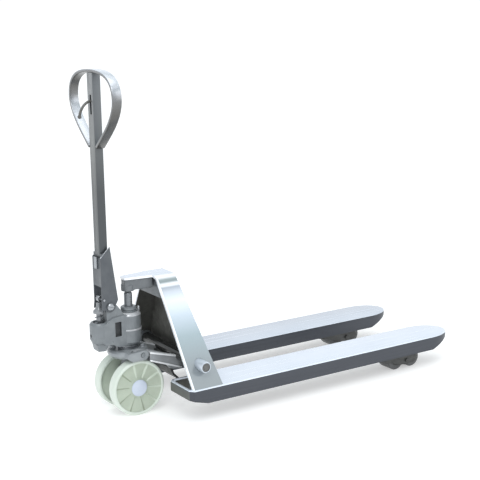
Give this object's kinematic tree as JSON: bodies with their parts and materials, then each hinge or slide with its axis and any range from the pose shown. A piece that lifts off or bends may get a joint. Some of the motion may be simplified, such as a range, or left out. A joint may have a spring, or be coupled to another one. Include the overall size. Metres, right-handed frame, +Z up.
{
  "type": "pallet jack",
  "caption": "Hand pallet truck with low twin forks, splayed bent-sheet head, hydraulic lift pump, steered wheel pair and upright loop handle.",
  "frame": {"origin": "on the floor, under the middle of the truck's bounding box", "axes": "+X towards the fork tips, +Y to the truck's left seen from the operator, +Z up"},
  "size_m": [1.4738, 0.54, 1.21],
  "materials": {
    "stainless": "polished, fine brushed grain",
    "cast": "semi-gloss grey enamel over casting texture",
    "dark": "matte near-black paint",
    "nylon": "satin moulded nylon",
    "steel": "machined",
    "cap": "smooth",
    "tyre": "dark moulded roller"
  },
  "bodies": {
    "seat": {"bearing_seat": "cast", "thrust_bearing": "steel", "trunnion_pin_left": "steel", "trunnion_pin_right": "steel"},
    "pump_unit": {"pump_casting": "cast", "gland_nut": "cast", "valve_block": "cast", "overload_plug": "dark", "filler_screw": "steel", "handle_pivot_pin": "steel", "steering_yoke": "cast", "wheel_axle": "steel", "plunger_spring": "steel"},
    "wheel_left": {"steering_wheel_left": "nylon", "wheel_bearing_left": "steel", "hub_cap_left": "cap"},
    "wheel_right": {"steering_wheel_right": "nylon", "wheel_bearing_right": "steel", "hub_cap_right": "cap"},
    "piston": {"piston_rod": "steel"},
    "plunger": {"pump_plunger": "steel"},
    "handle": {"handle_shaft": "cast", "handle_loop": "stainless", "handle_base": "cast", "cable_clip": "steel", "roller_pin": "steel", "lever_pin": "steel"},
    "pressure_roller": {"pressure_roller": "steel"},
    "control_lever": {"control_lever": "dark"},
    "release_rod": {"release_rod": "steel"},
    "valve_lever": {"valve_lever": "steel"},
    "frame": {"fork_left": "stainless", "fork_right": "stainless", "roller_lever_pin_left": "steel", "roller_lever_pin_right": "steel", "head_shell": "stainless", "front_plate": "dark", "rear_stiffener": "cast", "tongue_bracket": "cast", "cross_shaft": "steel", "shaft_cap_left": "stainless", "shaft_cap_right": "stainless"},
    "rocker": {"rocker_arm_left": "cast", "rocker_arm_right": "cast", "rocker_lever_left": "cast", "rocker_lever_right": "cast", "rocker_web": "dark", "rocker_tube": "dark"},
    "push_rod_left": {"push_rod_left": "cast"},
    "roller_lever_left": {"roller_lever_left": "dark"},
    "bogie_left": {"bogie_left": "dark"},
    "load_roller_front_left": {"load_roller_front_left": "tyre"},
    "load_roller_rear_left": {"load_roller_rear_left": "tyre"},
    "push_rod_right": {"push_rod_right": "cast"},
    "roller_lever_right": {"roller_lever_right": "dark"},
    "bogie_right": {"bogie_right": "dark"},
    "load_roller_front_right": {"load_roller_front_right": "tyre"},
    "load_roller_rear_right": {"load_roller_rear_right": "tyre"}
  },
  "joints": [
    {"name": "steer", "type": "hinge", "parent": "seat", "child": "pump_unit", "pos_m": [-0.585, 0, 0.2], "axis": [0, 0, 1], "range_deg": [-90, 90]},
    {"name": "wheel_left_spin", "type": "hinge", "parent": "pump_unit", "child": "wheel_left", "pos_m": [-0.585, 0.058, 0.1], "axis": [0, 1, 0], "continuous": true},
    {"name": "wheel_right_spin", "type": "hinge", "parent": "pump_unit", "child": "wheel_right", "pos_m": [-0.585, -0.058, 0.1], "axis": [0, 1, 0], "continuous": true},
    {"name": "lift", "type": "slide", "parent": "seat", "child": "frame", "axis": [0, 0, 1], "range_m": [-0.036, 0.079]},
    {"name": "piston_slide", "type": "slide", "parent": "pump_unit", "child": "piston", "axis": [0, 0, 1], "range_m": [-0.036, 0.079]},
    {"name": "handle_tilt", "type": "hinge", "parent": "pump_unit", "child": "handle", "pos_m": [-0.663, 0, 0.398], "axis": [0, -1, 0], "range_deg": [0, 80], "stiffness_Nm_per_rad": 34, "springref_deg": -14.32},
    {"name": "plunger_slide", "type": "slide", "parent": "pump_unit", "child": "plunger", "axis": [0, 0, -1], "range_m": [0, 0.0435], "deforming": ["plunger_spring"]},
    {"name": "pressure_roller_spin", "type": "hinge", "parent": "handle", "child": "pressure_roller", "pos_m": [-0.685, 0, 0.424], "axis": [0, 1, 0], "continuous": true},
    {"name": "control_lever_pivot", "type": "hinge", "parent": "handle", "child": "control_lever", "pos_m": [-0.677, 0, 1.1005], "axis": [0, 1, 0], "range_deg": [-12, 12], "stiffness_Nm_per_rad": 0.6},
    {"name": "release_rod_slide", "type": "slide", "parent": "handle", "child": "release_rod", "axis": [0, 0, 1], "range_m": [-0.005, 0.005]},
    {"name": "valve_lever_pivot", "type": "hinge", "parent": "pump_unit", "child": "valve_lever", "pos_m": [-0.643, 0.037, 0.272], "axis": [0, 1, 0], "range_deg": [-12, 12]},
    {"name": "rocker_pivot", "type": "hinge", "parent": "frame", "child": "rocker", "pos_m": [-0.42, 0, 0.193], "axis": [0, -1, 0], "range_deg": [-14, 29.5]},
    {"name": "push_rod_left_slide", "type": "slide", "parent": "frame", "child": "push_rod_left", "axis": [1, 0, 0], "range_m": [-0.006, 0.0126]},
    {"name": "roller_lever_left_pivot", "type": "hinge", "parent": "frame", "child": "roller_lever_left", "pos_m": [0.3225, 0.19, 0.078], "axis": [0, 1, 0], "range_deg": [-12, 26.5]},
    {"name": "bogie_left_pivot", "type": "hinge", "parent": "roller_lever_left", "child": "bogie_left", "pos_m": [0.508, 0.19, 0.037], "axis": [0, 1, 0], "range_deg": [-26.5, 12]},
    {"name": "load_roller_front_left_spin", "type": "hinge", "parent": "bogie_left", "child": "load_roller_front_left", "pos_m": [0.548, 0.19, 0.037], "axis": [0, 1, 0], "continuous": true},
    {"name": "load_roller_rear_left_spin", "type": "hinge", "parent": "bogie_left", "child": "load_roller_rear_left", "pos_m": [0.468, 0.19, 0.037], "axis": [0, 1, 0], "continuous": true},
    {"name": "push_rod_right_slide", "type": "slide", "parent": "frame", "child": "push_rod_right", "axis": [1, 0, 0], "range_m": [-0.006, 0.0126]},
    {"name": "roller_lever_right_pivot", "type": "hinge", "parent": "frame", "child": "roller_lever_right", "pos_m": [0.3225, -0.19, 0.078], "axis": [0, 1, 0], "range_deg": [-12, 26.5]},
    {"name": "bogie_right_pivot", "type": "hinge", "parent": "roller_lever_right", "child": "bogie_right", "pos_m": [0.508, -0.19, 0.037], "axis": [0, 1, 0], "range_deg": [-26.5, 12]},
    {"name": "load_roller_front_right_spin", "type": "hinge", "parent": "bogie_right", "child": "load_roller_front_right", "pos_m": [0.548, -0.19, 0.037], "axis": [0, 1, 0], "continuous": true},
    {"name": "load_roller_rear_right_spin", "type": "hinge", "parent": "bogie_right", "child": "load_roller_rear_right", "pos_m": [0.468, -0.19, 0.037], "axis": [0, 1, 0], "continuous": true}
  ],
  "couplings": [
    {"joint": "piston_slide", "follows": "lift", "ratio": 1},
    {"joint": "plunger_slide", "follows": "handle_tilt", "m_per_rad": 0.0309},
    {"joint": "release_rod_slide", "follows": "control_lever_pivot", "m_per_rad": 0.02},
    {"joint": "valve_lever_pivot", "follows": "control_lever_pivot", "ratio": 0.8},
    {"joint": "rocker_pivot", "follows": "lift", "rad_per_m": 6.35},
    {"joint": "push_rod_left_slide", "follows": "lift", "ratio": 0.1574},
    {"joint": "roller_lever_left_pivot", "follows": "lift", "rad_per_m": 5.725},
    {"joint": "bogie_left_pivot", "follows": "lift", "rad_per_m": -5.725},
    {"joint": "push_rod_right_slide", "follows": "lift", "ratio": 0.1574},
    {"joint": "roller_lever_right_pivot", "follows": "lift", "rad_per_m": 5.725},
    {"joint": "bogie_right_pivot", "follows": "lift", "rad_per_m": -5.725}
  ]
}
